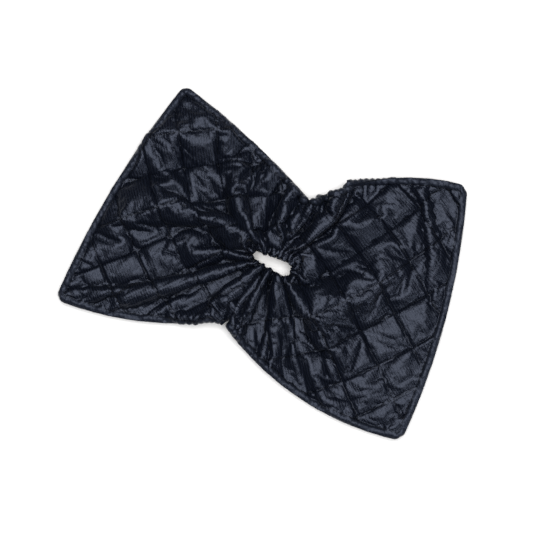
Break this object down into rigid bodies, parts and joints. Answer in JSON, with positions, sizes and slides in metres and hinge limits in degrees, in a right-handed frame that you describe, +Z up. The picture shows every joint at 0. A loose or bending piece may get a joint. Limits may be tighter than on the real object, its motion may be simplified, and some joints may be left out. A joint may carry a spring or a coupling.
{
  "type": "hair bow",
  "caption": "Wide quilted padded fabric hair bow with two flared wings, gathered at the middle round a small elasticated hole for a ponytail.",
  "frame": {"origin": "centre of the gathered hole, on the surface that the bow lies on", "axes": "+X along the bow's length towards its right wing, +Y across it towards the upper notch, +Z up through the hole towards its front"},
  "size_m": [0.2471, 0.1733, 0.013],
  "materials": {
    "satin": "black satin-weave nylon with a soft blue-grey sheen, crinkled along its seams",
    "wadding": "soft white polyester wadding",
    "thread": "black polyester sewing thread",
    "elastic": "black braided elastic"
  },
  "bodies": {
    "gather": {"elastic_ring": "elastic", "left_end_back_casing": "satin", "left_end_casing_stitch": "thread", "left_end_front_casing": "satin", "left_end_wadding": "wadding", "right_end_back_casing": "satin", "right_end_casing_stitch": "thread", "right_end_front_casing": "satin", "right_end_wadding": "wadding"},
    "left_wing": {"left_wing_back_quilting": "thread", "left_wing_back_shell": "satin", "left_wing_back_wadding": "wadding", "left_wing_front_quilting": "thread", "left_wing_front_shell": "satin", "left_wing_front_wadding": "wadding", "left_wing_hem_stitch": "thread"},
    "right_wing": {"right_wing_back_quilting": "thread", "right_wing_back_shell": "satin", "right_wing_back_wadding": "wadding", "right_wing_front_quilting": "thread", "right_wing_front_shell": "satin", "right_wing_front_wadding": "wadding", "right_wing_hem_stitch": "thread"},
    "upper_band": {"upper_band_back_shell": "satin", "upper_band_back_wadding": "wadding", "upper_band_casing_stitch": "thread", "upper_band_front_shell": "satin", "upper_band_front_wadding": "wadding", "upper_band_hem_stitch": "thread", "upper_band_quilting": "thread"},
    "lower_band": {"lower_band_back_shell": "satin", "lower_band_back_wadding": "wadding", "lower_band_casing_stitch": "thread", "lower_band_front_shell": "satin", "lower_band_front_wadding": "wadding", "lower_band_hem_stitch": "thread", "lower_band_quilting": "thread", "elastic_join_stitches": "thread"}
  },
  "joints": [
    {"name": "left_fold", "type": "hinge", "parent": "gather", "child": "left_wing", "pos_m": [-0.02534, 0.00583, 0.0065], "axis": [0.2241, 0.9746, 0], "range_deg": [-70, 85], "stiffness_Nm_per_rad": 0.03},
    {"name": "right_fold", "type": "hinge", "parent": "gather", "child": "right_wing", "pos_m": [0.02534, -0.00583, 0.0065], "axis": [-0.2241, -0.9746, 0], "range_deg": [-70, 85], "stiffness_Nm_per_rad": 0.03},
    {"name": "upper_stretch", "type": "slide", "parent": "gather", "child": "upper_band", "axis": [0.2241, 0.9746, 0], "range_m": [0, 0.018], "stiffness_N_per_m": 100, "deforming": ["elastic_ring"]},
    {"name": "lower_stretch", "type": "slide", "parent": "gather", "child": "lower_band", "axis": [-0.2241, -0.9746, 0], "range_m": [0, 0.018], "stiffness_N_per_m": 100}
  ],
  "couplings": [
    {"joint": "lower_stretch", "follows": "upper_stretch", "ratio": 1}
  ]
}
